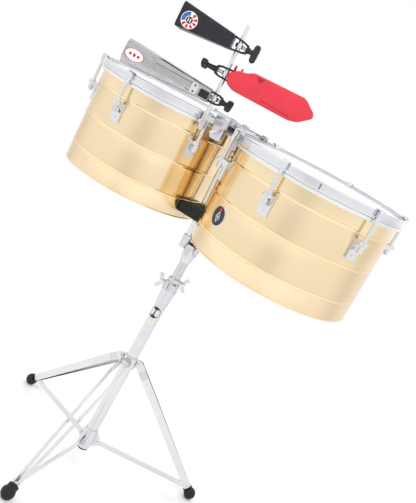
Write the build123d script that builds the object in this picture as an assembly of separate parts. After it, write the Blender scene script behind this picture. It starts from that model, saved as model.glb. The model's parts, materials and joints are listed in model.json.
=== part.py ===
from build123d import *
from math import acos, atan2, cos, degrees, hypot, radians, sin, sqrt
import os

# A pair of timbales on a folding tripod stand, with two bells and a block on a post.
# Millimetres, +Z up. +X runs from the small drum to the large drum, and the player's side is -Y.
# The stand is laid out round the column's axis. The head group (drums, mount and bells) is laid out
# upright and then tilted as one about the tilter's axis. Last, everything moves sideways so that the
# origin is on the floor at the middle of the whole object's footprint.

COLUMN_X = -0.09                # where the column stands from the middle of the footprint
COLUMN_Y = 52.72

# --- stand ---
LOWER_TUBE_R = 14.3             # 1 1/8 inch tube
LOWER_TUBE_WALL = 1.5
LOWER_TUBE_BOTTOM = 27.0
LOWER_TUBE_TOP = 486.0
UPPER_TUBE_R = 11.1             # 7/8 inch tube
UPPER_TUBE_WALL = 1.5
UPPER_TUBE_BOTTOM = 250.0
UPPER_TUBE_TOP = 566.0
RUN_GAP = 0.08                  # radial play where one piece runs on another
SEAT_GAP = 0.02                 # radial play where one piece is fixed on another

LEG_ANGLES = (40.3, 160.3, 280.3)
FOOT_CIRCLE_R = 312.8
FOOT_R = 15.5
FOOT_CENTRE_Z = 15.0            # the ball is worn flat where it stands
COLLAR_PIVOT_R = 28.0
COLLAR_PIVOT_Z = 277.0
HUB_PIVOT_R = 26.0
HUB_PIVOT_Z = 50.0
FOOT_TO_JOINT = 22.0            # from the ball's centre back to the spreader's pin
FOLDED_SPREADER_ANGLE = -87.0   # degrees above the horizontal, legs together under the column
BAR_THICK = 3.0
BAR_TALL = 19.0
SPREADER_THICK = 4.0
SPREADER_TALL = 12.0
PIN_R = 3.0

CLAMP_BASE_Z = 440.0            # tapered sleeve of the height clamp
CLAMP_TOP_Z = 500.0
LOCK_Z = 500.4                  # memory lock ring that sits on the clamp
LOCK_TALL = 12.0
CLAMP_SCREW_ANGLE = 205.0
LOCK_SCREW_ANGLE = 25.0

# --- tilter ---
TILT_Z = 592.0                  # height of the horizontal tilt axis
TILT = 6.1                      # the heads lean towards the player
ROD_X = -23.0                   # the upright rod stands beside the column
ROD_R = 7.95                    # 5/8 inch rod
ROD_BOTTOM = 588.0
ROD_TOP = 864.0
TILT_SHAFT_R = 8.0

# --- drums, in the upright layout ---
SMALL_R = 177.8                 # 14 inch shell
LARGE_R = 190.5                 # 15 inch shell
SMALL_X = -217.0
LARGE_X = 205.0
DRUM_Y = -5.0
DRUM_LEAN = 1.5                 # the pair of drums leans sideways on its mount, degrees
RIM_TOP = 894.6
RIM_TALL = 18.8
RIM_OUT = 9.7                   # how far the rim stands outside the shell
RIM_WALL = 2.3
SHELL_BOTTOM = 645.7
SHELL_WALL = 1.5
HEAD_RECESS = 7.6
BEAD_DEPTHS = (56.3, 129.6, 204.0)
BEAD_HALF = 3.5
BEAD_OUT = 1.5
LUG_ANGLES = (30.0, 90.0, 150.0, 210.0, 270.0, 330.0)
LARGE_LUG_TURN = -0.5           # the large drum is turned a little on its mount
HOOK_OUT = 15.4                 # the hooks' rods stand this far outside the shell
HOOK_R = 3.9
LUG_TOP_DEPTH = 67.0            # below the rim's top
LUG_TALL = 44.0
LUG_WIDE = 25.0
LUG_SHELF = 7.0                 # thickness of the shelf that the rod runs through
BADGE_ANGLE = 241.0
BADGE_DEPTH = 164.0
BADGE_R = 22.5

# --- mount and accessories, in the upright layout ---
POST_X = -50.0
POST_Y = -119.0
POST_R = 4.76                   # 3/8 inch post
POST_BOTTOM = 858.0
POST_TOP = 1093.0
PLATE_X = -18.0
PLATE_FRONT = -104.0
PLATE_SCREW_Z = 870.0
BRIDGE_X = -12.3                # middle of the gap between the rims
ACCESSORY_YAW = 25.0
BLACK_BELL_Z = 1048.5
JAM_BLOCK_Z = 986.0
STEEL_BELL_Z = 930.0

BASE = (Align.CENTER, Align.CENTER, Align.MIN)


# ---------------------------------------------------------------- helpers

def cyl(radius, bottom, top):
    return Pos(0, 0, bottom) * Cylinder(radius, top - bottom, align=BASE)


def ring(outer, inner, bottom, top):
    return cyl(outer, bottom, top) - cyl(inner, bottom - 1, top + 1)


def turned(*profile):
    """A body of revolution about Z from its half-section, given as (radius, height) corners."""
    wire = Polyline([(r, 0, z) for r, z in profile], close=True)
    return revolve(make_face(wire), Axis.Z)


def rod(start, end, radius):
    a, b = Vector(*start), Vector(*end)
    return Plane(origin=a, z_dir=b - a) * Cylinder(radius, (b - a).length, align=BASE)


def block(x0, x1, y0, y1, z0, z1):
    size = Box(x1 - x0, y1 - y0, z1 - z0)
    return Pos((x0 + x1) / 2, (y0 + y1) / 2, (z0 + z1) / 2) * size


def around(angles, piece):
    return [Rot(Z=angle) * piece for angle in angles]


def outward(angle, radius, z):
    """A local frame whose Z axis points straight out from the column at this angle."""
    a = radians(angle)
    out = Vector(cos(a), sin(a), 0)
    return Plane(origin=(radius * out.X, radius * out.Y, z), x_dir=(0, 0, 1), z_dir=out)


def wing_screw(shank_r, shank_long, span, hub_r=5.5):
    """A screw with two upright wings. Z = 0 is the face it seats on, and it points out along +Z."""
    shank = cyl(shank_r, -shank_long, 1)
    hub = turned((0, 0.3), (hub_r, 0.3), (hub_r * 0.8, 10), (0, 10))
    lobes = []
    for side in (-1, 1):
        lobe = Plane.XZ * (Pos(side * span * 0.29, 9.0) * Ellipse(span * 0.21, 6.5))
        lobes.append(extrude(lobe, 2.2, both=True))
    web = block(-span * 0.3, span * 0.3, -2.2, 2.2, 2.5, 9)
    return shank + hub + lobes[0] + lobes[1] + web


def t_handle(span, stem_long=11.0, depth=13.0):
    """A moulded T handle with a blind hole for the eye bolt's thread. It seats on Z = 0."""
    stem = turned((0, 0.3), (6.8, 0.3), (5.2, stem_long), (0, stem_long))
    bar = Pos(0, 0, stem_long + 6.0) * Box(span, depth, 15.0)
    bar = fillet(bar.edges(), 4.0)
    return stem + bar - cyl(PIN_R + RUN_GAP, -1, 12)


def leaned(shape):
    """Moves a piece of the drums from the upright layout to the drums' sideways lean."""
    return Pos(0, 0, RIM_TOP) * Rot(Y=DRUM_LEAN) * Pos(0, 0, -RIM_TOP) * shape


def tilted(shape):
    """Moves a piece from the upright layout to its tilted place on the stand."""
    return Pos(0, 0, TILT_Z) * Rot(X=TILT) * Pos(0, 0, -TILT_Z) * shape


# ---------------------------------------------------------------- tripod

def leg_frame():
    """The leg's line in its own upright plane, as (radius, height) pairs and lengths."""
    run = FOOT_CIRCLE_R - COLLAR_PIVOT_R
    drop = COLLAR_PIVOT_Z - FOOT_CENTRE_Z
    long = hypot(run, drop)
    along = (run / long, -drop / long)
    to_joint = long - FOOT_TO_JOINT
    joint = (COLLAR_PIVOT_R + along[0] * to_joint, COLLAR_PIVOT_Z + along[1] * to_joint)
    return long, to_joint, along, joint


LEG_LONG, LEG_TO_JOINT, LEG_ALONG, LEG_JOINT = leg_frame()
SPREADER_LONG = hypot(LEG_JOINT[0] - HUB_PIVOT_R, LEG_JOINT[1] - HUB_PIVOT_Z)


def fold():
    """How far the collar slides and the pieces turn from standing to folded: mm, then degrees."""
    start = degrees(atan2(LEG_JOINT[1] - HUB_PIVOT_Z, LEG_JOINT[0] - HUB_PIVOT_R))
    end = radians(FOLDED_SPREADER_ANGLE)
    joint_r = HUB_PIVOT_R + SPREADER_LONG * cos(end)
    joint_z = HUB_PIVOT_Z + SPREADER_LONG * sin(end)
    reach = joint_r - COLLAR_PIVOT_R
    collar_z = joint_z + sqrt(LEG_TO_JOINT ** 2 - reach ** 2)
    leg_start = degrees(acos(LEG_ALONG[0]))
    leg_end = degrees(acos(reach / LEG_TO_JOINT))
    spreader_turn = start - FOLDED_SPREADER_ANGLE
    return collar_z - COLLAR_PIVOT_Z, spreader_turn, leg_end - leg_start - spreader_turn


def leg_plane():
    """Local frame of the leg at angle 0: X down the leg, Y sideways, Z its upper side."""
    return Plane(
        origin=(COLLAR_PIVOT_R, 0, COLLAR_PIVOT_Z),
        x_dir=(LEG_ALONG[0], 0, LEG_ALONG[1]),
        z_dir=(-LEG_ALONG[1], 0, LEG_ALONG[0]),
    )


def leg_bar(side):
    """One flat bar: it steps outward below the collar and closes in towards the foot."""
    path = [(-BAR_TALL / 2, 10.4), (13, 10.4), (34, 14.6), (LEG_TO_JOINT + 13, 3.9)]
    half = BAR_THICK / 2
    outer = [(x, side * (y + half)) for x, y in path]
    inner = [(x, side * (y - half)) for x, y in reversed(path)]
    plan = make_face(Polyline(outer + inner, close=True))
    flat = extrude(plan, BAR_TALL / 2, both=True)
    long = LEG_TO_JOINT - 1.5
    side_view = SlotCenterToCenter(long, BAR_TALL)
    rounded = extrude(Plane.XZ * Pos(long / 2, 0) * side_view, 30, both=True)
    return flat & rounded


def leg():
    """Two flat bars, the rivet heads at the collar, the pin at the spreader and the foot's stem."""
    bars = [leg_bar(1), leg_bar(-1)]
    heads = [Pos(0, side * 12.0, 0) * Rot(X=-90 * side) * cyl(4.5, 0, 2) for side in (1, -1)]
    pin = Pos(LEG_TO_JOINT, 0, 0) * Rot(X=90) * (
        cyl(PIN_R, -5.7, 5.7) + cyl(4.8, 5.7, 7.4) + cyl(4.8, -7.4, -5.7)
    )
    bars = [bar - pin for bar in bars]
    stem = Pos(LEG_TO_JOINT, 0, 0) * rod((9.5, 0, 0), (FOOT_TO_JOINT - 6, 0, 0), 2.3)
    return [leg_plane() * piece for piece in bars + heads + [pin, stem]]


def foot():
    """A rubber ball with a flat tread and a wide cuff round the ends of the leg's bars."""
    ball = Pos(FOOT_CIRCLE_R, 0, FOOT_CENTRE_Z) * Sphere(FOOT_R)
    ball = ball & block(FOOT_CIRCLE_R - 20, FOOT_CIRCLE_R + 20, -20, 20, 0, 40)
    neck = rod((LEG_TO_JOINT + 4, 0, 0), (LEG_LONG - 3, 0, 0), 12.2)
    neck = neck - rod((LEG_TO_JOINT + 3, 0, 0), (LEG_TO_JOINT + 8.8, 0, 0), 10.2)
    stem_hole = rod((LEG_TO_JOINT + 8, 0, 0), (LEG_LONG - 6, 0, 0), 2.3 + SEAT_GAP)
    bar_ends = rod((LEG_TO_JOINT, 0, 0), (LEG_TO_JOINT + 8.8, 0, 0), 10.2)
    return ball + leg_plane() * neck - leg_plane() * (stem_hole + bar_ends)


def spreader():
    """One flat bar from the lower hub to the leg's end."""
    dx, dz = LEG_JOINT[0] - HUB_PIVOT_R, LEG_JOINT[1] - HUB_PIVOT_Z
    frame = Plane(origin=(HUB_PIVOT_R, 0, HUB_PIVOT_Z), x_dir=(dx, 0, dz), z_dir=(0, -1, 0))
    outline = Pos(SPREADER_LONG / 2, 0) * SlotCenterToCenter(SPREADER_LONG, SPREADER_TALL)
    bar = extrude(outline, SPREADER_THICK / 2, both=True)
    for x in (0, SPREADER_LONG):
        bar = bar - Pos(x, 0, 0) * cyl(PIN_R + RUN_GAP, -10, 10)
    return frame * bar


def lower_hub():
    """A cast ring fixed on the foot of the tube, with three gusseted forks for the spreaders."""
    body = turned((LOWER_TUBE_R + SEAT_GAP, 34), (17.6, 34), (18.2, 40), (18.2, 62), (16.4, 80),
                  (LOWER_TUBE_R + SEAT_GAP, 80))
    gap = SPREADER_THICK / 2 + 0.35
    for side in (-1, 1):
        cheek = Polyline((16, 0, 36), (HUB_PIVOT_R, 0, 42), (34, 0, 46), (34, 0, 54),
                         (HUB_PIVOT_R, 0, 62), (16, 0, 76), close=True)
        plate = extrude(make_face(cheek), 1.8, both=True)
        for angle in LEG_ANGLES:
            body = body + Rot(Z=angle) * Pos(0, side * (gap + 1.8), 0) * plate
    tube = cyl(LOWER_TUBE_R + SEAT_GAP, 0, 100)
    for angle in LEG_ANGLES:
        body = body - Rot(Z=angle) * fork_pin_hole()
    return body - tube


def fork_pin_hole():
    return Pos(HUB_PIVOT_R, 0, HUB_PIVOT_Z) * Rot(X=90) * cyl(PIN_R + SEAT_GAP, -12, 12)


def hub_pin():
    shape = cyl(PIN_R, -5.95, 5.95) + cyl(4.4, 6.0, 7.6) + cyl(4.4, -7.6, -6.0)
    shape = shape + cyl(PIN_R, 5.9, 6.1) + cyl(PIN_R, -6.1, -5.9)
    return Pos(HUB_PIVOT_R, 0, HUB_PIVOT_Z) * Rot(X=90) * shape


def leg_collar():
    """A cast ring that slides on the tube, with three square ears between the legs' bars."""
    low, high = COLLAR_PIVOT_Z - 14, COLLAR_PIVOT_Z + 15
    body = turned((12, low), (17.4, low), (18.0, low + 3), (18.0, high - 3), (17.2, high), (12, high))
    ear = block(14, COLLAR_PIVOT_R + 6.5, -8.5, 8.5, COLLAR_PIVOT_Z - 8, COLLAR_PIVOT_Z + 8)
    ear = fillet(ear.edges().filter_by(Axis.Y).sort_by(Axis.X)[-2:], 6)
    for angle in LEG_ANGLES:
        body = body + Rot(Z=angle) * ear
    screw = collar_screw_place()
    boss = screw * cyl(6.5, -6, 0)
    hole = screw * cyl(PIN_R + RUN_GAP, -12, 1)
    return body + boss - hole - cyl(LOWER_TUBE_R + RUN_GAP, low - 1, high + 1)


def collar_screw_place():
    return outward(LEG_ANGLES[0] + 60, 22.0, COLLAR_PIVOT_Z + 2)


def tube_end_cap():
    return turned((0, 21), (9, 21), (14.0, 24), (14.3, 26.9), (12.7, 26.9), (12.7, 40), (0, 40))


# ---------------------------------------------------------------- column

def lower_tube():
    return ring(LOWER_TUBE_R, LOWER_TUBE_R - LOWER_TUBE_WALL, LOWER_TUBE_BOTTOM, LOWER_TUBE_TOP)


def clamp_screw_place():
    return outward(CLAMP_SCREW_ANGLE, 22.5, 490.5)


def height_clamp():
    """The cast clamp on top of the lower tube: tapered sleeve, split head and screw boss."""
    body = turned((12, CLAMP_BASE_Z), (15.6, CLAMP_BASE_Z), (17.3, 470), (18.6, 476), (18.6, 496),
                  (17.0, CLAMP_TOP_Z), (12, CLAMP_TOP_Z))
    place = clamp_screw_place()
    body = body + place * cyl(7.5, -9, 0)
    body = body - cyl(LOWER_TUBE_R + SEAT_GAP, CLAMP_BASE_Z - 1, LOWER_TUBE_TOP + 0.3)
    body = body - cyl(LOWER_TUBE_R - 0.3, LOWER_TUBE_TOP, CLAMP_TOP_Z + 1)
    body = body - place * cyl(PIN_R + RUN_GAP, -12, 1)
    slit = Rot(Z=CLAMP_SCREW_ANGLE + 70) * block(13, 24, -1.2, 1.2, 479, CLAMP_TOP_Z + 1)
    return body - slit


def clamp_bushing():
    """A split nylon sleeve that the upper tube runs in."""
    sleeve = turned((11, 462), (LOWER_TUBE_R - LOWER_TUBE_WALL - SEAT_GAP, 462),
                    (LOWER_TUBE_R - LOWER_TUBE_WALL - SEAT_GAP, LOWER_TUBE_TOP + 0.1),
                    (LOWER_TUBE_R - 0.35, LOWER_TUBE_TOP + 0.1),
                    (LOWER_TUBE_R - 0.35, CLAMP_TOP_Z - 1), (11, CLAMP_TOP_Z - 1))
    return sleeve - cyl(UPPER_TUBE_R + RUN_GAP, 460, CLAMP_TOP_Z)


def lock_screw_place():
    return outward(LOCK_SCREW_ANGLE, 18.5, LOCK_Z + LOCK_TALL / 2)


def memory_lock():
    """The ring that is clamped on the upper tube and keeps its height."""
    top = LOCK_Z + LOCK_TALL
    body = turned((10, LOCK_Z), (16.0, LOCK_Z), (16.6, LOCK_Z + 2), (16.6, top - 2), (15.6, top),
                  (10, top))
    place = lock_screw_place()
    body = body + place * cyl(5.6, -6, 0)
    body = body - cyl(UPPER_TUBE_R + RUN_GAP, LOCK_Z - 1, top + 1)
    return body - place * cyl(PIN_R + RUN_GAP, -12, 1)


def upper_tube():
    return ring(UPPER_TUBE_R, UPPER_TUBE_R - UPPER_TUBE_WALL, UPPER_TUBE_BOTTOM, UPPER_TUBE_TOP)


def tube_badge():
    """A thin round label wrapped on the lower tube."""
    skin = ring(LOWER_TUBE_R + 0.35, LOWER_TUBE_R + 0.05, 380, 440)
    return skin & rod((0, 0, 417), (11, -24, 417), 15.5)


# ---------------------------------------------------------------- tilter

def tilter_screw_place():
    return Plane(origin=(0, 22, TILT_Z), x_dir=(0, 0, 1), z_dir=(0, 1, 0))


def tilter_base():
    """A funnel-shaped casting on the upper tube, with a split boss round the tilt shaft."""
    funnel = turned((0, 556), (12.6, 556), (13.4, 560), (15.5, 572), (17.5, 586), (17.5, 592), (0, 592))
    boss = rod((-7, 0, TILT_Z), (12, 0, TILT_Z), 15.5)
    body = funnel & block(-17.5, 17.5, -15.5, 15.5, 550, 600)
    lug = rod((0, 0, TILT_Z), (0, 22, TILT_Z), 7.5)
    body = body + boss + lug
    socket_room = rod((-40, 0, TILT_Z), (-7, 0, TILT_Z), 14.4) + block(-40, -7, -30, 30, TILT_Z, 640)
    end_room = rod((12, 0, TILT_Z), (30, 0, TILT_Z), 12.6)
    body = body - socket_room - end_room
    body = body - cyl(UPPER_TUBE_R + SEAT_GAP, 550, UPPER_TUBE_TOP + 0.3)
    body = body - rod((-20, 0, TILT_Z), (30, 0, TILT_Z), TILT_SHAFT_R + RUN_GAP)
    return body - tilter_screw_place() * cyl(PIN_R + RUN_GAP, -17, 1)


def tilter_head():
    """The socket that holds the upright rod, and the shaft that turns in the base's boss."""
    sleeve = Pos(ROD_X, 0, 0) * cyl(11.8, TILT_Z - 7, TILT_Z + 25)
    flange = rod((-10, 0, TILT_Z), (-7.3, 0, TILT_Z), 11)
    shaft = rod((-12, 0, TILT_Z), (12.4, 0, TILT_Z), TILT_SHAFT_R)
    end = rod((12.4, 0, TILT_Z), (15.5, 0, TILT_Z), 12)
    body = sleeve + flange + shaft + end
    bore = Pos(ROD_X, 0, 0) * cyl(ROD_R + SEAT_GAP, ROD_BOTTOM, TILT_Z + 40)
    hole = Pos(ROD_X, 0, TILT_Z + 14) * Rot(X=-90) * cyl(2.5 + SEAT_GAP, 6, 20)
    return body - bore - hole


def upright_rod():
    return Pos(ROD_X, 0, 0) * cyl(ROD_R, ROD_BOTTOM, ROD_TOP)


def key_screw(head_r=4.2):
    """A short screw with a square key head. Z = 0 is the face it seats on."""
    return cyl(2.5, -3.1, 0.2) + cyl(head_r, 0.2, 2.2) + Pos(0, 0, 5.2) * Box(6, 6, 6)


def rod_screws():
    low = Pos(ROD_X, 11.8, TILT_Z + 14) * Rot(X=-90) * key_screw()
    high = Pos(ROD_X, 12.5, 850) * Rot(X=-90) * key_screw()
    return [low, high]


# ---------------------------------------------------------------- drums

def bead_edges(radius, heights, wall_side):
    """The wall's line from bottom to top: straight runs joined by the rolled beads' arcs."""
    edges = []
    here = (radius, 0, SHELL_BOTTOM)
    for z in heights:
        start, end = (radius, 0, z - BEAD_HALF), (radius, 0, z + BEAD_HALF)
        edges.append(Line(here, start))
        edges.append(ThreePointArc(start, (radius + BEAD_OUT, 0, z), end))
        here = end
    edges.append(Line(here, (radius, 0, RIM_TOP - HEAD_RECESS - wall_side)))
    return edges


def drum_shell(radius):
    """A spun brass shell with three rolled beads, a rolled lower edge and a bearing edge."""
    heights = sorted(RIM_TOP - depth for depth in BEAD_DEPTHS)
    inner_r = radius - SHELL_WALL
    outer = bead_edges(radius, heights, 0.9)
    inner = bead_edges(inner_r, heights, 0.9)
    top = Line(outer[-1] @ 1, inner[-1] @ 1)
    bottom = Line(outer[0] @ 0, inner[0] @ 0)
    wall = revolve(make_face(Curve() + outer + inner + [top, bottom]), Axis.Z)
    roll = revolve(Plane.XZ * Pos(radius - 0.2, SHELL_BOTTOM + 1.6) * Circle(1.6), Axis.Z)
    return wall + roll


def drum_head(radius):
    """The plastic head: a flat film over the shell's edge and a collar down to the flesh hoop."""
    top = RIM_TOP - HEAD_RECESS
    hoop_top = RIM_TOP - RIM_TALL - 0.3
    return turned((0, top), (radius + 1.4, top), (radius + 1.4, hoop_top - 4), (radius + 0.6, hoop_top - 4),
                  (radius + 0.6, top - 0.8), (0, top - 0.8))


def flesh_hoop(radius):
    """The head's aluminium hoop, which the rim pulls down."""
    top = RIM_TOP - RIM_TALL - 0.3
    outer = radius + 8.4
    return turned((radius + 1.5, top - 7.5), (outer, top - 7.5), (outer, top), (radius + 1.5, top))


def drum_rim(radius):
    """The pressed steel rim: an upright band with a rounded lip, and a flange on the flesh hoop."""
    out, low = radius + RIM_OUT, RIM_TOP - RIM_TALL
    inn = out - RIM_WALL
    band = turned((out, low), (out, RIM_TOP - 1.4), (out - 0.7, RIM_TOP), (inn + 0.1, RIM_TOP),
                  (inn - 0.9, RIM_TOP - 1.2), (inn - 0.9, RIM_TOP - 3), (inn, RIM_TOP - 4), (inn, low + 2),
                  (radius + 2.4, low + 2), (radius + 2.4, low))
    return band


def at_lugs(radius, turn, piece):
    """Six copies of a piece that is drawn at angle 0, with X counted out from the shell."""
    return around([angle + turn for angle in LUG_ANGLES], Pos(radius, 0, 0) * piece)


def lug_plate(radius):
    """A lug: a plate on the shell with a thick shelf at its top for the hook's rod, and two small gussets."""
    top = RIM_TOP - LUG_TOP_DEPTH
    low = top - LUG_TALL
    half = LUG_WIDE / 2
    plate = block(-3, 4.5, -half, half, low, top)
    plate = fillet(plate.edges().filter_by(Axis.X), 3)
    shelf = block(2, HOOK_OUT, -10.5, 10.5, top - LUG_SHELF, top)
    shelf = shelf + Pos(HOOK_OUT, 0, 0) * cyl(10.5, top - LUG_SHELF, top)
    gusset_view = Polyline((2, 0, top - 3), (13, 0, top - 3), (13, 0, top - 8), (2, 0, top - 19), close=True)
    gusset = extrude(make_face(gusset_view), 0.9, both=True)
    body = plate + shelf + Pos(0, 9.4, 0) * gusset + Pos(0, -9.4, 0) * gusset
    body = body - Pos(-radius, 0, 0) * cyl(radius + 0.25, low - 1, top + 1)
    window = block(-6, 8, 3.0, 7.0, top - 21, top - 11)
    rod_hole = Pos(HOOK_OUT, 0, 0) * cyl(HOOK_R + RUN_GAP, top - LUG_SHELF - 1, top + 1)
    screw_hole = Pos(0, 0, low + 9) * Rot(Y=90) * cyl(2.6, -5, 8)
    return body - window - rod_hole - screw_hole


def lug_screw():
    """The small screw that holds the lug's plate to the shell."""
    z = RIM_TOP - LUG_TOP_DEPTH - LUG_TALL + 9
    return Pos(0, 0, z) * Rot(Y=90) * (cyl(2.5, 0.5, 4.9) + cyl(3.4, 4.6, 6.4))


def tuning_hook():
    """A claw over the rim with a long rod down through the lug's shelf."""
    top = RIM_TOP + 4.2
    claw = block(3.6, HOOK_OUT + 4.9, -7, 7, RIM_TOP - 13, top)
    claw = fillet(claw.edges().filter_by(Axis.Y).group_by(Axis.Z)[-1], 3.4)
    slot = block(RIM_OUT - RIM_WALL - 1.7, RIM_OUT + 0.5, -8, 8, RIM_TOP - 20, RIM_TOP + 0.3)
    throat = block(0, RIM_OUT, -8, 8, RIM_TOP - 20, RIM_TOP - 5.5)
    claw = claw - slot - throat
    long = cyl(HOOK_R, RIM_TOP - LUG_TOP_DEPTH - LUG_SHELF - 17, RIM_TOP - 12)
    neck = turned((0, RIM_TOP - 22), (HOOK_R, RIM_TOP - 22), (5.2, RIM_TOP - 13), (0, RIM_TOP - 13))
    return claw + Pos(HOOK_OUT, 0, 0) * (long + neck)


def tuning_nut():
    """A long hexagon nut under the lug's shelf, and the washer on the shelf."""
    top = RIM_TOP - LUG_TOP_DEPTH
    under = top - LUG_SHELF - 0.1
    nut = extrude(Pos(0, 0, under - 15) * RegularPolygon(6.0, 6), 15)
    washer = cyl(7.6, top + 0.1, top + 2.3)
    bore = cyl(HOOK_R + SEAT_GAP, top - 40, top + 3)
    return Pos(HOOK_OUT, 0, 0) * (nut + washer - bore)


def shell_badge():
    """A round metal badge that follows the large shell's curve."""
    z = RIM_TOP - BADGE_DEPTH
    skin = ring(LARGE_R + 1.0, LARGE_R + 0.05, z - 40, z + 40)
    plug = rod((LARGE_R - 20, 0, z), (LARGE_R + 20, 0, z), BADGE_R)
    return Rot(Z=BADGE_ANGLE) * (skin & plug)


def add_drum(parts, name, radius, x, turn):
    place = Pos(x, DRUM_Y, 0)
    pieces = {
        "shell": [drum_shell(radius)],
        "head": [drum_head(radius)],
        "flesh_hoop": [flesh_hoop(radius)],
        "rim": [drum_rim(radius)],
        "lugs": at_lugs(radius, turn, lug_plate(radius)),
        "tuning_hooks": at_lugs(radius, turn, tuning_hook()),
    }
    for piece, shapes in pieces.items():
        parts[f"{name}_{piece}"] = [tilted(leaned(place * shape)) for shape in shapes]
    shared = {"lug_screws": lug_screw(), "tuning_nuts": tuning_nut()}
    for piece, shape in shared.items():
        copies = [tilted(leaned(place * copy)) for copy in at_lugs(radius, turn, shape)]
        parts.setdefault(piece, []).extend(copies)


# ---------------------------------------------------------------- centre mount

def rim_edge(x, radius, side, y):
    """Where a rim's outside is at this Y, on the side that faces the other drum."""
    return x + side * sqrt((radius + RIM_OUT) ** 2 - (y - DRUM_Y) ** 2)


def rim_clip(y, half):
    """A cross plate over both rims, with a lip down inside each and a raised slotted pad at each end."""
    left = rim_edge(SMALL_X, SMALL_R, 1, y)
    right = rim_edge(LARGE_X, LARGE_R, -1, y)
    over = 9.0
    clip = block(left - over, right + over, y - half, y + half, RIM_TOP + 0.4, RIM_TOP + 4.4)
    for x0 in (left - over, right + over - 2.6):
        clip = clip + block(x0, x0 + 2.6, y - half, y + half, RIM_TOP - 5.5, RIM_TOP + 1)
    for x0 in (left - over, right + over - 12):
        pad = block(x0, x0 + 12, y - half + 1, y + half - 1, RIM_TOP + 4, RIM_TOP + 7.5)
        clip = clip + pad - block(x0 + 2.5, x0 + 9.5, y - half + 3, y + half - 3, RIM_TOP + 5.5, RIM_TOP + 9)
    return clip


def key_block(y):
    """A square block on the bridge with a key hole in its front, over the large rim's side."""
    x = BRIDGE_X + 11
    body = block(x - 8, x + 8, y - 8, y + 8, RIM_TOP - 2, RIM_TOP + 14)
    body = chamfer(body.edges(), 1.2)
    return body - block(x - 4, x + 4, y - 9, y - 1, RIM_TOP + 2.5, RIM_TOP + 10.5)


def center_mount():
    """The casting that carries both rims and the post, on top of the upright rod."""
    sleeve = Pos(ROD_X, 0, 0) * cyl(12.5, 838, 866)
    web = block(ROD_X - 3, 0, -12, 12, 842, 888)
    bar = block(BRIDGE_X - 12.5, BRIDGE_X + 12.5, PLATE_FRONT + 2, 70, 881, RIM_TOP + 3)
    bar = fillet(bar.edges().filter_by(Axis.Y).group_by(Axis.Z)[-1], 4)
    bar = bar - block(BRIDGE_X - 6, BRIDGE_X + 6, -46, -18, RIM_TOP - 4, RIM_TOP + 9)
    bar = bar - block(BRIDGE_X - 6, BRIDGE_X + 6, 10, 40, RIM_TOP - 4, RIM_TOP + 9)
    over = leaned(bar + rim_clip(-70, 9) + rim_clip(52, 9) + key_block(-86))
    plate = block(PLATE_X - 15, PLATE_X + 15, PLATE_FRONT, PLATE_FRONT + 5, 852, RIM_TOP + 1)
    plate = fillet(plate.edges().filter_by(Axis.Y).group_by(Axis.Z)[0], 8)
    arm = block(-38, -24, -126, PLATE_FRONT + 2, 882, 893)
    arm = arm + block(POST_X, -24, -126, -113, 882, 893)
    boss = Pos(POST_X, POST_Y, 0) * cyl(8.0, 863, 893)
    body = sleeve + web + over + plate + arm + boss
    body = body - Pos(ROD_X, 0, 0) * cyl(ROD_R + SEAT_GAP, 830, ROD_TOP + 0.4)
    body = body - Pos(POST_X, POST_Y, 0) * cyl(POST_R + RUN_GAP, 856, 900)
    for x, radius in ((SMALL_X, SMALL_R), (LARGE_X, LARGE_R)):
        shell_room = cyl(radius + BEAD_OUT + 0.5, 820, RIM_TOP - RIM_TALL - 9)
        rim_room = cyl(radius + RIM_OUT + 0.6, RIM_TOP - RIM_TALL - 9, RIM_TOP - 7)
        body = body - leaned(Pos(x, DRUM_Y, 0) * (shell_room + rim_room))
    body = body - Pos(ROD_X, 0, 850) * Rot(X=-90) * cyl(2.5 + SEAT_GAP, 5, 20)
    body = body - mount_screw_place() * cyl(PIN_R + RUN_GAP, -8, 1)
    return body - post_screw_place() * cyl(2.5 + RUN_GAP, -6, 1)


def mount_screw_place():
    return Plane(origin=(PLATE_X, PLATE_FRONT, PLATE_SCREW_Z), x_dir=(1, 0, 1), z_dir=(0, -1, 0))


def post_screw_place():
    return Plane(origin=(POST_X, POST_Y - 8.0, 876), x_dir=(1, 0, 0), z_dir=(0, -1, 0))


def bumper_block():
    """A rubber spacer on the rod that keeps the shells apart near their lower edges."""
    low, high = 667, 694
    gap = 0.4
    body = block(-75, 55, -56, 34, low, high)
    for x, radius in ((SMALL_X, SMALL_R), (LARGE_X, LARGE_R)):
        body = body - leaned(Pos(x, DRUM_Y, 0) * cyl(radius + BEAD_OUT + gap, low - 20, high + 20))
    return body - Pos(ROD_X, 0, 0) * cyl(ROD_R + SEAT_GAP, low - 1, high + 1)


# ---------------------------------------------------------------- bells and block

def cowbell_post():
    bar = Pos(POST_X, POST_Y, 0) * cyl(POST_R, POST_BOTTOM, POST_TOP)
    return chamfer(bar.edges().filter_by(GeomType.CIRCLE), 0.8)


def on_post(z, yaw, pitch, shape):
    """Places a piece drawn with X pointing away from the post, on the post at this height."""
    return Pos(POST_X, POST_Y, z) * Rot(Z=yaw) * Rot(Y=-pitch) * shape


def bell_body(start, long, mouth, narrow, mouth_corner, narrow_corner, wall):
    """A tapered sheet bell, closed at the narrow end. mouth and narrow are (wide, high)."""

    def skin(inset, x0, x1):
        near = Plane(origin=(x0, 0, 0), x_dir=(0, 1, 0), z_dir=(1, 0, 0))
        far = Plane(origin=(x1, 0, 0), x_dir=(0, 1, 0), z_dir=(1, 0, 0))
        small = RectangleRounded(narrow[0] - inset, narrow[1] - inset, narrow_corner - inset / 2)
        large = RectangleRounded(mouth[0] - inset, mouth[1] - inset, mouth_corner - inset / 2)
        return loft([near * small, far * large])

    outer = skin(0, start, start + long)
    inner = skin(2 * wall, start + wall, start + long + 0.01)
    return outer - inner


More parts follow.
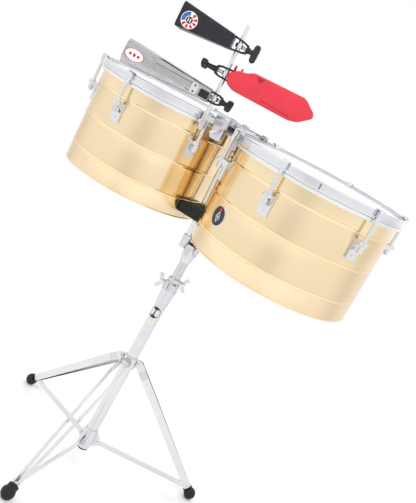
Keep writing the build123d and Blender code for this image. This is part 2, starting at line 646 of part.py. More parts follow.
def eye_bolt(long, pitch):
    """A level ring round the post, with a threaded shank along -X that follows the bell's pitch."""
    eye = Rot(Y=pitch) * cyl(8.4, -4.5, 4.5)
    shank = rod((0, 0, 0), (-long, 0, 0), PIN_R)
    return eye + shank - Rot(Y=pitch) * cyl(POST_R + RUN_GAP, -10, 10)


def strap_bracket(front_x, front_half, back_x, back_half, wide, thick=3.6):
    """A folded strap: two arms from the bell's end that close on a wall in front of the handle."""
    def side(offset):
        return [(front_x, front_half - offset), (back_x + 10, back_half + 3 - offset),
                (back_x + offset, back_half - offset)]

    outer, inner = side(0), side(thick)
    loop_out = outer + [(x, -z) for x, z in reversed(outer)]
    loop_in = inner + [(x, -z) for x, z in reversed(inner)]
    face = make_face(Polyline([(x, 0, z) for x, z in loop_out + list(reversed(loop_in))], close=True))
    strap = extrude(face, wide / 2, both=True)
    strap = strap - cyl(POST_R + 0.9, -30, 30)
    return strap - rod((back_x - 5, 0, 0), (back_x + 5, 0, 0), PIN_R + RUN_GAP)


def black_bell():
    return bell_body(15.0, 119.0, (88, 53), (50, 31), 8, 6, 1.8)


def steel_bell():
    return bell_body(9.0, 197.0, (106, 52), (58, 30), 19, 11, 1.8)


def jam_block():
    """A moulded block with chamfered ends, a raised playing edge and a slot along its underside."""
    outline = Polyline((6, -3), (6, 5), (25, 18), (41, 19), (52, 26), (176, 26), (203, 6), (205, -4),
                       (180, -24), (160, -29), (28, -25), (11, -17), close=True)
    body = extrude(Plane.XZ * make_face(outline), 22, both=True)
    body = chamfer(body.faces().sort_by(Axis.Y)[0].edges(), 3)
    body = chamfer(body.faces().sort_by(Axis.Y)[-1].edges(), 3)
    slot = block(36, 184, -9, 9, -40, 12)
    eye_room = cyl(9.6, -5.2, 5.2)
    return body - slot - eye_room


def jam_bracket():
    return strap_bracket(16, 13.5, -23, 9.5, 17, 4.0) - jam_block()


def accessory(parts, name, z, yaw, pitch, body, bracket, shank, handle, handle_turn):
    """A bell or block with its bracket, eye bolt and T handle on the post."""
    back = handle[0]
    turn = Rot(X=handle_turn)
    seat = Plane(origin=(back, 0, 0), x_dir=(0, 0, 1), z_dir=(-1, 0, 0))
    handle_shape = turn * (seat * handle[1])
    bolt = eye_bolt(shank, pitch)
    shapes = {"": body, "_bracket": bracket, "_eye_bolt": bolt, "_handle": handle_shape}
    for suffix, shape in shapes.items():
        parts[name + suffix] = [tilted(on_post(z, yaw, pitch, shape))]


def steel_bracket():
    """A short fork butted on the bell's narrow end, wider than it is tall."""
    return strap_bracket(8.9, 12.0, -18, 9.0, 20, 4.0)


def add_accessories(parts):
    left = 180 + ACCESSORY_YAW
    accessory(parts, "black_bell", BLACK_BELL_Z, left, 2.0, black_bell(),
              strap_bracket(15, 15.4, -20, 9.0, 17), 29, (-20.2, t_handle(39)), 8)
    accessory(parts, "jam_block", JAM_BLOCK_Z, ACCESSORY_YAW, 0, jam_block(), jam_bracket(), 32,
              (-23.2, t_handle(38, 21.0)), 62)
    accessory(parts, "steel_bell", STEEL_BELL_Z, left, 2.5, steel_bell(), steel_bracket(), 27,
              (-18.2, t_handle(38)), 50)


# ---------------------------------------------------------------- the whole object

def stand_parts():
    parts = {
        "lower_tube": [lower_tube()],
        "tube_end_cap": [tube_end_cap()],
        "lower_hub": [lower_hub()],
        "hub_pins": around(LEG_ANGLES, hub_pin()),
        "height_clamp": [height_clamp()],
        "clamp_bushing": [clamp_bushing()],
        "height_clamp_screw": [clamp_screw_place() * wing_screw(PIN_R, 7.0, 38)],
        "tube_badge": [tube_badge()],
        "leg_collar": [leg_collar()],
        "leg_collar_screw": [collar_screw_place() * wing_screw(PIN_R, 7, 30)],
        "memory_lock": [memory_lock()],
        "memory_lock_screw": [lock_screw_place() * wing_screw(PIN_R, 6.5, 36)],
        "upper_tube": [upper_tube()],
        "tilter_base": [tilter_base()],
        "tilter_screw": [tilter_screw_place() * wing_screw(PIN_R, 12, 28)],
    }
    for number, angle in enumerate(LEG_ANGLES, 1):
        parts[f"leg_{number}"] = [Rot(Z=angle) * piece for piece in leg()]
        parts[f"spreader_{number}"] = [Rot(Z=angle) * spreader()]
        parts[f"foot_{number}"] = [Rot(Z=angle) * foot()]
    return parts


def head_parts():
    parts = {
        "tilter_head": [tilted(tilter_head())],
        "upright_rod": [tilted(upright_rod())],
        "rod_screws": [tilted(piece) for piece in rod_screws()],
        "bumper_block": [tilted(bumper_block())],
        "center_mount": [tilted(center_mount())],
        "mount_screw": [tilted(mount_screw_place() * wing_screw(PIN_R, 4, 24, 4.5))],
        "post_screw": [tilted(post_screw_place() * key_screw())],
        "cowbell_post": [tilted(cowbell_post())],
    }
    add_drum(parts, "small", SMALL_R, SMALL_X, 0)
    add_drum(parts, "large", LARGE_R, LARGE_X, LARGE_LUG_TURN)
    parts["shell_badge"] = [tilted(leaned(Pos(LARGE_X, DRUM_Y, 0) * shell_badge()))]
    add_accessories(parts)
    return parts


def main():
    os.makedirs("parts", exist_ok=True)
    parts = stand_parts() | head_parts()
    for name, shapes in parts.items():
        solids = [solid for shape in shapes for solid in shape.solids()]
        placed = [Pos(COLUMN_X, COLUMN_Y, 0) * solid for solid in solids]
        export_step(placed[0] if len(placed) == 1 else Compound(placed), f"parts/{name}.step")


if __name__ == "__main__":
    main()
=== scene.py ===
"""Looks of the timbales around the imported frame: materials, detailed pieces, studio and camera. Metres."""
import json
from math import cos, pi, radians, sin, sqrt

import bmesh
import bpy
from mathutils import Matrix, Vector


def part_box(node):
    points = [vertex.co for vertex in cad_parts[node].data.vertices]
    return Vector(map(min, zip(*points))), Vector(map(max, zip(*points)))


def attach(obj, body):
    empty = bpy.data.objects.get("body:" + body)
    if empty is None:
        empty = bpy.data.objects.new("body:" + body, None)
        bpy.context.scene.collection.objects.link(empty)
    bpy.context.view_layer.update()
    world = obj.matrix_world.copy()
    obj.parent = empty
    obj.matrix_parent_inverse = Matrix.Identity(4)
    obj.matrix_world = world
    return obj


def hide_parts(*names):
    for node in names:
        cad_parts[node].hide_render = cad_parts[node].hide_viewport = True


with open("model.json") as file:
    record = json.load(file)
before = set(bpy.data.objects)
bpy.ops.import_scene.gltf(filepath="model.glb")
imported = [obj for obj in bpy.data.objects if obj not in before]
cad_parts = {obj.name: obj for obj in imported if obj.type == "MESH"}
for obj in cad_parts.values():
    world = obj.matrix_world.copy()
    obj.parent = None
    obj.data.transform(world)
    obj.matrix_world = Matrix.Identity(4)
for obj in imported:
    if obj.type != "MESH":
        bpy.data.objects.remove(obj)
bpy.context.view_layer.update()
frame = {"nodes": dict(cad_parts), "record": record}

MM = 0.001
NODES = frame["nodes"]
JOINTS = {joint["name"]: joint for joint in frame["record"]["behaviour"]["joints"]}

# Driving sizes that the pieces share with the CAD nodes they stand for.
BEAD_OUT = 1.5 * MM
BEAD_HALF = 3.5 * MM
BEAD_DEPTHS = [depth * MM for depth in (56.3, 129.6, 204.0)]
SHELL_WALL = 1.5 * MM
RIM_OUT = 9.7 * MM
RIM_WALL = 2.3 * MM
HEAD_RECESS = 7.6 * MM
HOOK_OUT = 15.4 * MM
HOOK_R = 3.9 * MM
LUG_ANGLES = {"small": [30 + 60 * k for k in range(6)], "large": [29.5 + 60 * k for k in range(6)]}
DRUM_LEAN = 1.5
SCREW_R = 3.0 * MM
GRIP_WIDE = 13.0 * MM
GRIP_TALL = 15.0 * MM
GRIP_ABOVE_STEM = 6.0           # millimetres from the stem's end to the middle of the grip


# ---------------------------------------------------------------- places

def z_frame(origin, z, x):
    """A frame at origin with its Z axis along z and its X axis as near to x as it can be."""
    up = Vector(z).normalized()
    side = (Vector(x) - up * Vector(x).dot(up)).normalized()
    turn = Matrix((side, up.cross(side), up)).transposed().to_4x4()
    return Matrix.Translation(Vector(origin)) @ turn


def x_frame(origin, x, z):
    """A frame at origin with its X axis along x and its Z axis as near to z as it can be."""
    out = Vector(x).normalized()
    up = (Vector(z) - out * Vector(z).dot(out)).normalized()
    turn = Matrix((out, up.cross(out), up)).transposed().to_4x4()
    return Matrix.Translation(Vector(origin)) @ turn


def spin(angle):
    return Matrix.Rotation(radians(angle), 4, "Z")


HEAD_UP = Vector(JOINTS["post_turn"]["axis"])
PIVOT = Vector(JOINTS["head_tilt"]["pos_m"])
HEAD = z_frame(PIVOT, HEAD_UP, (1, 0, 0))
DRUMS = HEAD @ Matrix.Rotation(radians(DRUM_LEAN), 4, "Y")


def span(node, place=HEAD):
    """Lowest and highest corner of a CAD node, measured along the axes of a frame."""
    back = place.inverted()
    points = [back @ vertex.co for vertex in NODES[node].data.vertices]
    low = Vector([min(p[k] for p in points) for k in range(3)])
    high = Vector([max(p[k] for p in points) for k in range(3)])
    return low, high


def drum_frame(name):
    """The drum's own frame: Z up its axis, with Z = 0 at the rim's top."""
    low, high = span(f"{name}_rim", DRUMS)
    middle = (low + high) / 2
    return DRUMS @ Matrix.Translation((middle.x, middle.y, high.z))


def drum_radius(name):
    low, high = span(f"{name}_rim", DRUMS)
    return (high.x - low.x) / 2 - RIM_OUT


# ---------------------------------------------------------------- node trees

class Tree:
    """Short calls for building a node tree."""

    def __init__(self, owner):
        owner.use_nodes = True
        self.nodes = owner.node_tree.nodes
        self.links = owner.node_tree.links

    def add(self, kind, inputs=None, **settings):
        made = self.nodes.new("ShaderNode" + kind)
        for name, value in settings.items():
            setattr(made, name, value)
        for name, value in (inputs or {}).items():
            self.feed(made.inputs[name], value)
        return made

    def feed(self, socket, value):
        if isinstance(value, bpy.types.NodeSocket):
            self.links.new(value, socket)
        else:
            socket.default_value = value

    def math(self, operation, a, b=0.0, c=0.0, clamp=False):
        made = self.add("Math", {0: a, 1: b, 2: c}, operation=operation, use_clamp=clamp)
        return made.outputs[0]

    def noise(self, where, scale, detail=3.0, rough=0.5):
        made = self.add("TexNoise", {"Vector": where, "Scale": scale, "Detail": detail, "Roughness": rough})
        return made.outputs["Fac"]

    def ramp(self, factor, *stops):
        """A colour ramp from (position, grey or colour) stops."""
        made = self.add("ValToRGB", {"Fac": factor})
        band = made.color_ramp.elements
        while len(band) < len(stops):
            band.new(0.5)
        for element, (position, colour) in zip(band, stops):
            element.position = position
            rgb = (colour,) * 3 if isinstance(colour, (int, float)) else colour
            element.color = (*rgb, 1.0)
        return made.outputs["Color"]

    def mix(self, factor, a, b):
        made = self.add("Mix", data_type="RGBA")
        self.feed(made.inputs[0], factor)
        for socket, value in ((made.inputs[6], a), (made.inputs[7], b)):
            self.feed(socket, (*value, 1.0) if isinstance(value, tuple) else value)
        return made.outputs[2]

    def stretched(self, where, scale, turn=(0, 0, 0), shift=(0, 0, 0)):
        made = self.add("Mapping", {"Vector": where, "Scale": scale, "Rotation": turn, "Location": shift})
        return made.outputs["Vector"]


def start_material(name, colour, rough, metallic=0.0, **sockets):
    """A material whose shader sockets are set, its tree, its shader and its object coordinates."""
    made = bpy.data.materials.new(name)
    tree = Tree(made)
    shader = tree.nodes["Principled BSDF"]
    shader.inputs["Base Color"].default_value = (*colour, 1.0)
    shader.inputs["Roughness"].default_value = rough
    shader.inputs["Metallic"].default_value = metallic
    for socket, value in sockets.items():
        shader.inputs[socket.replace("_", " ")].default_value = value
    where = tree.add("TexCoord").outputs["Object"]
    return made, tree, shader, where


def vary(tree, shader, factor, colours, roughness):
    """Lets a 0 to 1 factor move the colour and the roughness between two values each."""
    tree.feed(shader.inputs["Base Color"], tree.mix(factor, *colours))
    low, high = roughness
    tree.feed(shader.inputs["Roughness"], tree.math("MULTIPLY_ADD", factor, high - low, low))


def raise_grain(tree, shader, height, strength, distance):
    bump = tree.add("Bump", {"Height": height, "Strength": strength, "Distance": distance})
    tree.feed(shader.inputs["Normal"], bump.outputs["Normal"])


def shade(colour, amount):
    return tuple(c * amount for c in colour)


def plated(name, colour=(0.80, 0.80, 0.84), rough=(0.07, 0.16), cast=0.0):
    """Chrome plate: cloudy polish, fine rubbed lines and, on a casting, the sand's soft unevenness."""
    made, tree, shader, where = start_material(name, colour, rough[0], 1.0)
    cloud = tree.noise(where, 38.0, 4.0)
    vary(tree, shader, cloud, (shade(colour, 0.90), colour), rough)
    rubbed = tree.noise(tree.stretched(where, (900.0, 900.0, 90.0)), 1.0, 2.0)
    uneven = tree.noise(where, 420.0, 2.0)
    height = tree.math("MULTIPLY_ADD", uneven, cast, rubbed)
    raise_grain(tree, shader, height, 0.05 + 0.25 * min(cast, 1.0), 0.0003)
    return made


def around_axis(tree, where, place):
    """(angle, radius, height) about a frame's Z axis, for marks that run round a drum."""
    back = place.inverted()
    turn = back.to_3x3()
    local = []
    for k in range(3):
        dot = tree.add("VectorMath", {0: where, 1: tuple(turn[k])}, operation="DOT_PRODUCT")
        local.append(tree.math("ADD", dot.outputs["Value"], back.translation[k]))
    angle = tree.math("ARCTAN2", local[1], local[0])
    squares = tree.math("ADD", tree.math("MULTIPLY", local[0], local[0]),
                        tree.math("MULTIPLY", local[1], local[1]))
    return angle, tree.math("SQRT", squares), local[2]


def lacquered_brass(name, place):
    """Pale lacquered brass: fine polish lines round the shell, clouded colour, and a deeper tone painted as
    shade in the creases at the beads and where the shell turns away towards its outline.
    """
    pale, deep = (0.94, 0.78, 0.53), (0.82, 0.54, 0.22)
    made, tree, shader, where = start_material(name, pale, 0.14, 1.0, Coat_Weight=0.15, Coat_Roughness=0.08)
    angle, _, height = around_axis(tree, where, place)
    lines = tree.add("CombineXYZ", {"X": tree.math("MULTIPLY", angle, 2.5), "Y": 0.0,
                                    "Z": tree.math("MULTIPLY", height, 2600.0)}).outputs[0]
    fine = tree.noise(lines, 1.0, 3.0, 0.6)
    cloud = tree.noise(where, 9.0, 3.0)
    # Painted shade: a deeper, rougher tone in a band along each edge of every bead, where the crease is in
    # shade.
    crease = 0.0
    for depth in BEAD_DEPTHS:
        off = tree.math("ABSOLUTE", tree.math("ADD", height, depth))
        edge = tree.math("ABSOLUTE", tree.math("SUBTRACT", off, BEAD_HALF))
        band = tree.math("SUBTRACT", 1.0, tree.math("MULTIPLY", edge, 1 / (1.3 * MM)), clamp=True)
        crease = band if crease == 0.0 else tree.math("MAXIMUM", crease, band)
    # Painted shade: the colour deepens as the surface turns edge-on to the view, towards the shell's outline.
    facing = tree.add("LayerWeight", {"Blend": 0.4}).outputs["Facing"]
    edge = tree.math("MULTIPLY", tree.math("POWER", facing, 3.0), 0.9)
    # The painted shade of the bead creases and of the outline, added to the clouded tone below.
    marks = tree.math("MULTIPLY_ADD", crease, 0.55, edge)
    tone = tree.math("MULTIPLY_ADD", cloud, 0.22, marks, clamp=True)
    vary(tree, shader, tone, (pale, deep), (0.10, 0.22))
    raise_grain(tree, shader, fine, 0.10, 0.0003)
    return made


def coated_film(name, place, radius):
    """A sprayed white coating that stops short of the edge, scuffed grey where sticks land."""
    made, tree, shader, where = start_material(name, (0.9, 0.9, 0.88), 0.55, Subsurface_Weight=0.05)
    _, out, _ = around_axis(tree, where, place)
    coated = tree.ramp(tree.math("MULTIPLY", out, 1 / radius),
                       (0.0, 1.0), (0.925, 1.0), (0.93, 0.0), (1.0, 0.0))
    scuff = tree.noise(where, 26.0, 5.0, 0.65)
    played = tree.ramp(tree.math("MULTIPLY", out, 1 / radius), (0.0, 0.8), (0.55, 0.5), (0.85, 0.0))
    worn = tree.math("MULTIPLY", tree.ramp(scuff, (0.45, 0.0), (0.72, 1.0)), played)
    film = tree.mix(worn, (0.81, 0.83, 0.85), (0.64, 0.65, 0.67))
    tree.feed(shader.inputs["Base Color"], tree.mix(coated, (0.80, 0.81, 0.82), film))
    tree.feed(shader.inputs["Roughness"], tree.math("MULTIPLY_ADD", coated, 0.34, 0.26))
    grit = tree.math("MULTIPLY", tree.noise(where, 1500.0, 2.0), coated)
    raise_grain(tree, shader, grit, 0.35, 0.0003)
    return made


def drawn_aluminium(name, place):
    made, tree, shader, where = start_material(name, (0.90, 0.90, 0.92), 0.25, 1.0)
    angle, _, height = around_axis(tree, where, place)
    lines = tree.add("CombineXYZ", {"X": angle, "Y": 0.0,
                                    "Z": tree.math("MULTIPLY", height, 1800.0)}).outputs[0]
    streak = tree.noise(lines, 1.5, 3.0)
    vary(tree, shader, streak, ((0.84, 0.84, 0.86), (0.93, 0.93, 0.95)), (0.20, 0.34))
    raise_grain(tree, shader, streak, 0.15, 0.0003)
    return made


def rubber(name):
    """Moulded black rubber with a dull bloom and pale dust where it faces up."""
    dark, dusty = (0.010, 0.010, 0.011), (0.032, 0.031, 0.030)
    made, tree, shader, where = start_material(name, dark, 0.6, Specular_IOR_Level=0.3)
    normal = tree.add("NewGeometry").outputs["Normal"]
    up = tree.add("SeparateXYZ", {0: normal}).outputs["Z"]
    dust = tree.math("MULTIPLY", tree.math("MULTIPLY", up, tree.noise(where, 160.0, 5.0)), 0.8, clamp=True)
    vary(tree, shader, dust, (dark, dusty), (0.5, 0.85))
    raise_grain(tree, shader, tree.noise(where, 900.0, 3.0), 0.35, 0.0004)
    return made


def enamel(name):
    """Satin black enamel with faint orange peel and rubbed, thinner paint in patches."""
    dark, rubbed = (0.010, 0.010, 0.014), (0.022, 0.022, 0.028)
    made, tree, shader, where = start_material(name, dark, 0.3, Specular_IOR_Level=0.35)
    vary(tree, shader, tree.noise(where, 55.0, 5.0, 0.6), (dark, rubbed), (0.30, 0.46))
    raise_grain(tree, shader, tree.noise(where, 700.0, 2.0), 0.22, 0.0004)
    return made


def moulded(name, low, high, rough, grain=1100.0, **sockets):
    """A moulded plastic: slightly uneven colour under a fine matte grain."""
    made, tree, shader, where = start_material(name, high, rough[0], **sockets)
    vary(tree, shader, tree.noise(where, 24.0, 4.0), (low, high), rough)
    raise_grain(tree, shader, tree.noise(where, grain, 2.0), 0.28, 0.0004)
    return made


def brushed_steel(name, place):
    """Sheet steel brushed along the bell, with straw heat tint near the narrow end."""
    made, tree, shader, where = start_material(name, (0.66, 0.65, 0.67), 0.3, 1.0)
    back = place.inverted()
    turn = back.to_3x3()
    local = []
    for k in range(3):
        dot = tree.add("VectorMath", {0: where, 1: tuple(turn[k])}, operation="DOT_PRODUCT")
        local.append(tree.math("ADD", dot.outputs["Value"], back.translation[k]))
    along = tree.add("CombineXYZ", {"X": tree.math("MULTIPLY", local[0], 14.0),
                                    "Y": tree.math("MULTIPLY", local[1], 420.0),
                                    "Z": tree.math("MULTIPLY", local[2], 420.0)}).outputs[0]
    streak = tree.noise(along, 1.0, 4.0, 0.6)
    brushed = tree.mix(tree.ramp(streak, (0.30, 0.0), (0.70, 1.0)), (0.40, 0.39, 0.40), (0.60, 0.59, 0.62))
    near = tree.math("MULTIPLY", tree.math("SUBTRACT", 60 * MM, local[0]), 1 / (60 * MM), clamp=True)
    tint = tree.math("MULTIPLY", near, tree.noise(where, 60.0, 3.0))
    tree.feed(shader.inputs["Base Color"], tree.mix(tint, brushed, (0.42, 0.36, 0.30)))
    tree.feed(shader.inputs["Roughness"], tree.math("MULTIPLY_ADD", streak, 0.16, 0.16))
    raise_grain(tree, shader, streak, 0.12, 0.0003)
    return made


LARGE = drum_frame("large")
SMALL = drum_frame("small")
LARGE_R = drum_radius("large")
SMALL_R = drum_radius("small")


def bell_frame(name):
    """An accessory's own frame on the post: X points away from the post, Z up."""
    turn = JOINTS[f"{name}_turn"]
    handle = JOINTS[f"{name}_handle_turn"]
    return x_frame(turn["pos_m"], -Vector(handle["axis"]), HEAD_UP)


CHROME = plated("chrome", (0.84, 0.85, 0.88))
STAND_CHROME = plated("stand_chrome", (0.74, 0.735, 0.755), (0.10, 0.20))
CAST_CHROME = plated("cast_chrome", (0.72, 0.715, 0.745), (0.14, 0.26), cast=1.2)
# Dark steel for the rim's weld and the rivets, and also painted shade in the steel bell's grooves.
DARK_STEEL_AND_SHADE = plated("dark_steel_and_shade", (0.16, 0.16, 0.17), (0.3, 0.4))
RUBBER = rubber("black_rubber")
ENAMEL = enamel("black_enamel")
BLACK_PLASTIC = moulded("black_plastic", (0.012, 0.012, 0.013), (0.024, 0.024, 0.026), (0.38, 0.52))
RED_PLASTIC = moulded("red_plastic", (0.60, 0.018, 0.038), (0.78, 0.038, 0.068), (0.30, 0.42), 800.0,
                      Subsurface_Weight=0.12, Subsurface_Scale=0.004)
# A darker copy of the red plastic, used only as painted shade on the jam block.
PAINTED_SHADE_RED = moulded("painted_shade_red_plastic", (0.30, 0.006, 0.014), (0.42, 0.01, 0.02), (0.4, 0.55), 800.0)
NYLON = moulded("nylon", (0.74, 0.73, 0.68), (0.84, 0.83, 0.79), (0.4, 0.5))
WHITE_PRINT = moulded("white_print", (0.80, 0.80, 0.80), (0.88, 0.88, 0.88), (0.3, 0.4))
BLACK_PRINT = moulded("black_print", (0.010, 0.010, 0.012), (0.020, 0.020, 0.024), (0.25, 0.35))
RED_PRINT = moulded("red_print", (0.50, 0.015, 0.02), (0.62, 0.02, 0.03), (0.3, 0.4))
BLUE_PRINT = moulded("blue_print", (0.04, 0.10, 0.30), (0.06, 0.14, 0.38), (0.3, 0.4))
AMBER_PRINT = moulded("amber_print", (0.88, 0.62, 0.28), (0.93, 0.70, 0.36), (0.3, 0.4))
STEEL = brushed_steel("brushed_steel", bell_frame("steel_bell"))


# ---------------------------------------------------------------- shapes

def skin(loops, closed=False):
    """Loops of equal length joined side by side, and filled at both ends unless closed on itself."""
    size, count = len(loops[0]), len(loops)
    points = [Vector(p) for loop in loops for p in loop]
    faces = []
    for k in range(count if closed else count - 1):
        a, b = k * size, (k + 1) % count * size
        faces += [(a + i, a + (i + 1) % size, b + (i + 1) % size, b + i) for i in range(size)]
    if not closed:
        faces += [tuple(range(size)), tuple(range((count - 1) * size, count * size))]
    return points, faces


def turned(profile, segments=64):
    """A body of revolution about Z from the closed outline (radius, height) of its half-section."""
    loops = []
    for k in range(segments):
        c, s = cos(2 * pi * k / segments), sin(2 * pi * k / segments)
        loops.append([(p[0] * c, p[0] * s, p[1]) for p in profile])
    return skin(loops, closed=True)


def moved(shape, place):
    points, faces = shape
    return [place @ p for p in points], faces


def rounded(corners, radius, steps=4):
    """A closed outline whose corners are rounded off."""
    outline = []
    for i, corner in enumerate(corners):
        p, a, b = Vector(corner), Vector(corners[i - 1]), Vector(corners[(i + 1) % len(corners)])
        reach = min(radius, 0.45 * (a - p).length, 0.45 * (b - p).length)
        start, end = p + (a - p).normalized() * reach, p + (b - p).normalized() * reach
        for k in range(steps + 1):
            t = k / steps
            outline.append(start * (1 - t) ** 2 + p * 2 * t * (1 - t) + end * t * t)
    return outline


def rectangle(width, height, corner, steps=4):
    w, h = width / 2, height / 2
    return rounded([(-w, -h), (w, -h), (w, h), (-w, h)], corner, steps)


def slab(outline, low, high):
    """A flat plate: an outline in X and Y, from low to high in Z."""
    return skin([[(p[0], p[1], z) for p in outline] for z in (low, high)])


def upright_slab(outline, low, high):
    """A flat plate: an outline in X and Z, from low to high in Y."""
    return skin([[(p[0], y, p[1]) for p in outline] for y in (low, high)])


def smooth_loop(points, steps=4):
    """A closed curve through points, as Catmull-Rom."""
    curve, n = [], len(points)
    for i in range(n):
        p0, p1, p2, p3 = (Vector(points[(i + k) % n]) for k in (-1, 0, 1, 2))
        for k in range(steps):
            t = k / steps
            curve.append(0.5 * (2 * p1 + (p2 - p0) * t + (2 * p0 - 5 * p1 + 4 * p2 - p3) * t * t
                                + (3 * p1 - p0 - 3 * p2 + p3) * t ** 3))
    return curve


def threaded(radius, low, high, pitch=1.2 * MM, depth=0.42 * MM, segments=16, per_turn=6):
    """A threaded rod along Z with a real helical groove."""
    steps = max(2, round((high - low) / pitch * per_turn))
    loops = []
    for k in range(steps + 1):
        z = low + (high - low) * k / steps
        loop = []
        for i in range(segments):
            phase = (z / pitch - i / segments) % 1
            r = radius - depth * abs(2 * phase - 1)
            loop.append((r * cos(2 * pi * i / segments), r * sin(2 * pi * i / segments), z))
        loops.append(loop)
    return skin(loops)


def swept(path, section):
    """A section (across, sideways) carried along a path of (x, z) points."""
    loops = []
    for i, p in enumerate(path):
        a, b = Vector(path[max(i - 1, 0)]), Vector(path[min(i + 1, len(path) - 1)])
        ahead = (b - a).normalized()
        across = Vector((ahead.y, 0, -ahead.x))
        middle = Vector((p[0], 0, p[1]))
        loops.append([middle + across * u + Vector((0, v, 0)) for u, v in section])
    return skin(loops)


def piece(name, body, shapes, replaces=(), bevel=0.0, sharp=35):
    """One object from (shape, material) pairs, riding on a body."""
    mesh = bpy.data.meshes.new(name)
    materials = []
    build = bmesh.new()
    for (points, faces), material in shapes:
        if material not in materials:
            materials.append(material)
        corners = [build.verts.new(p) for p in points]
        for face in faces:
            made = build.faces.new([corners[i] for i in face])
            made.material_index = materials.index(material)
    bmesh.ops.remove_doubles(build, verts=build.verts, dist=1e-7)
    bmesh.ops.dissolve_degenerate(build, edges=build.edges, dist=1e-7)
    bmesh.ops.recalc_face_normals(build, faces=build.faces)
    build.to_mesh(mesh)
    build.free()
    for material in materials:
        mesh.materials.append(material)
    mesh.shade_smooth()
    mesh.set_sharp_from_angle(angle=radians(sharp))
    made = bpy.data.objects.new(name, mesh)
    bpy.context.scene.collection.objects.link(made)
    if bevel:
        edge = made.modifiers.new("rounded_edges", "BEVEL")
        edge.width = bevel
        edge.segments = 3
        edge.limit_method = "ANGLE"
        edge.angle_limit = radians(32)
        edge.harden_normals = True
    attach(made, body)
    if replaces:
        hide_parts(*replaces)
    return made


# ---------------------------------------------------------------- drums

def drum_shell(name, place, radius):
    """A spun shell with three rolled beads and a rolled lower edge."""
    low, _ = span(f"{name}_shell", place)
    bottom = low.z + 1.6 * MM
    top = -HEAD_RECESS - 0.9 * MM
    wall = [(radius, top)]
    for depth in BEAD_DEPTHS:
        for k in range(13):
            t = k / 12
            swell = 0.5 - 0.5 * cos(2 * pi * t)
            wall.append((radius + BEAD_OUT * swell, -depth + BEAD_HALF * (1 - 2 * t)))
    wall.append((radius, bottom + 1.6 * MM))
    roll = [(radius - 0.2 * MM + 1.6 * MM * cos(a), bottom + 1.6 * MM * sin(a))
            for a in [radians(50 - 28 * k) for k in range(11)]]
    inside = [(r - SHELL_WALL, z) for r, z in reversed(wall)]
    material = lacquered_brass(f"brass_{name}", place)
    shape = turned(wall + roll + inside[1:], 288)
    piece(f"{name}_drum_shell", "head", [(moved(shape, place), material)], [f"{name}_shell"])


def drum_head(name, place, radius):
    """The film: flat, turned down over the bearing edge into the flesh hoop."""
    top = -HEAD_RECESS
    low, _ = span(f"{name}_head", place)
    film = 0.45 * MM
    edge = [(radius + 1.4 * MM - 1.6 * MM * (1 - sin(radians(a))), top - 1.6 * MM * (1 - cos(radians(a))))
            for a in (0, 30, 60, 90)]
    outer = [(0, top)] + edge + [(radius + 1.4 * MM, low.z)]
    inner = [(radius + 0.95 * MM, low.z), (radius + 0.95 * MM, top - 1.8 * MM),
             (radius - 1.2 * MM, top - film),
             (0, top - film)]
    material = coated_film(f"coated_film_{name}", place, radius)
    shape = turned(outer + inner, 192)
    piece(f"{name}_drum_head", "head", [(moved(shape, place), material)], [f"{name}_head"])


def flesh_hoop(name, place):
    low, high = span(f"{name}_flesh_hoop", place)
    outer = high.x
    inner = drum_radius(name) + 1.5 * MM
    section = rounded([(inner, low.z), (outer, low.z), (outer, high.z), (inner, high.z)], 1.8 * MM)
    shape = turned(section, 192)
    material = drawn_aluminium(f"aluminium_{name}", place)
    piece(f"{name}_hoop", "head", [(moved(shape, place), material)], [f"{name}_flesh_hoop"])


def drum_rim(name, place, radius):
    """The pressed rim: a flange on the hoop, an upright band and a lip rolled inward at the top."""
    low, _ = span(f"{name}_rim", place)
    out = radius + RIM_OUT
    inn = out - RIM_WALL
    lip = [(out - 1.7 * MM + 1.7 * MM * cos(radians(a)), -1.7 * MM + 1.7 * MM * sin(radians(a)))
           for a in range(0, 181, 20)]
    corner = [(out - 2.0 * MM * (1 - cos(radians(a))), low.z + 2.0 * MM * (1 - sin(radians(a))))
              for a in (90, 60, 30, 0)]
    section = [(radius + 2.4 * MM, low.z)] + corner + lip
    section += [(inn - 0.9 * MM, -3.0 * MM), (inn, -4.2 * MM), (inn, low.z + 3.2 * MM),
                (inn - 1.2 * MM, low.z + 2.0 * MM), (radius + 2.4 * MM, low.z + 2.0 * MM)]
    shape = turned(section, 288)
    shapes = [(moved(shape, place), CHROME)]
    if name == "large":
        weld = upright_slab(rectangle(0.7 * MM, 12 * MM, 0.3 * MM), -1.1 * MM, 1.1 * MM)
        at = place @ spin(291.5) @ Matrix.Translation((out, 0, -9.5 * MM))
        shapes.append((moved(weld, at), DARK_STEEL_AND_SHADE))
    piece(f"{name}_drum_rim", "head", shapes, [f"{name}_rim"])


def tuning_hook():
    """A claw hooked over the rim and its web; the swelling neck and the rod threaded at the lower end come
    from hook_rod.
    """
    inner = RIM_OUT - RIM_WALL - 3.9 * MM
    path = [(inner, -5.0 * MM), (inner, -1.0 * MM)]
    path += [(inner + 4.0 * MM * (1 - cos(radians(a))), -1.0 * MM + 3.2 * MM * sin(radians(a)))
             for a in (20, 40, 60, 80)]
    path += [(HOOK_OUT - 1.0 * MM, 2.3 * MM)]
    path += [(HOOK_OUT - 1.0 * MM + 3.6 * MM * sin(radians(a)), -1.2 * MM + 3.5 * MM * cos(radians(a)))
             for a in (25, 50, 75, 90)]
    path += [(HOOK_OUT + 2.3 * MM, -8.0 * MM), (HOOK_OUT + 1.6 * MM, -14.0 * MM)]
    claw = swept(path, rectangle(3.6 * MM, 14.0 * MM, 1.3 * MM, 3))
    web = upright_slab(rounded([(RIM_OUT + 1.0 * MM, -1 * MM), (RIM_OUT + 1.0 * MM, -13 * MM),
                                (HOOK_OUT + 1.8 * MM, -14.5 * MM), (HOOK_OUT + 2.6 * MM, -1 * MM)], 1.5 * MM),
                       -6.0 * MM, 6.0 * MM)
    return [claw, web]


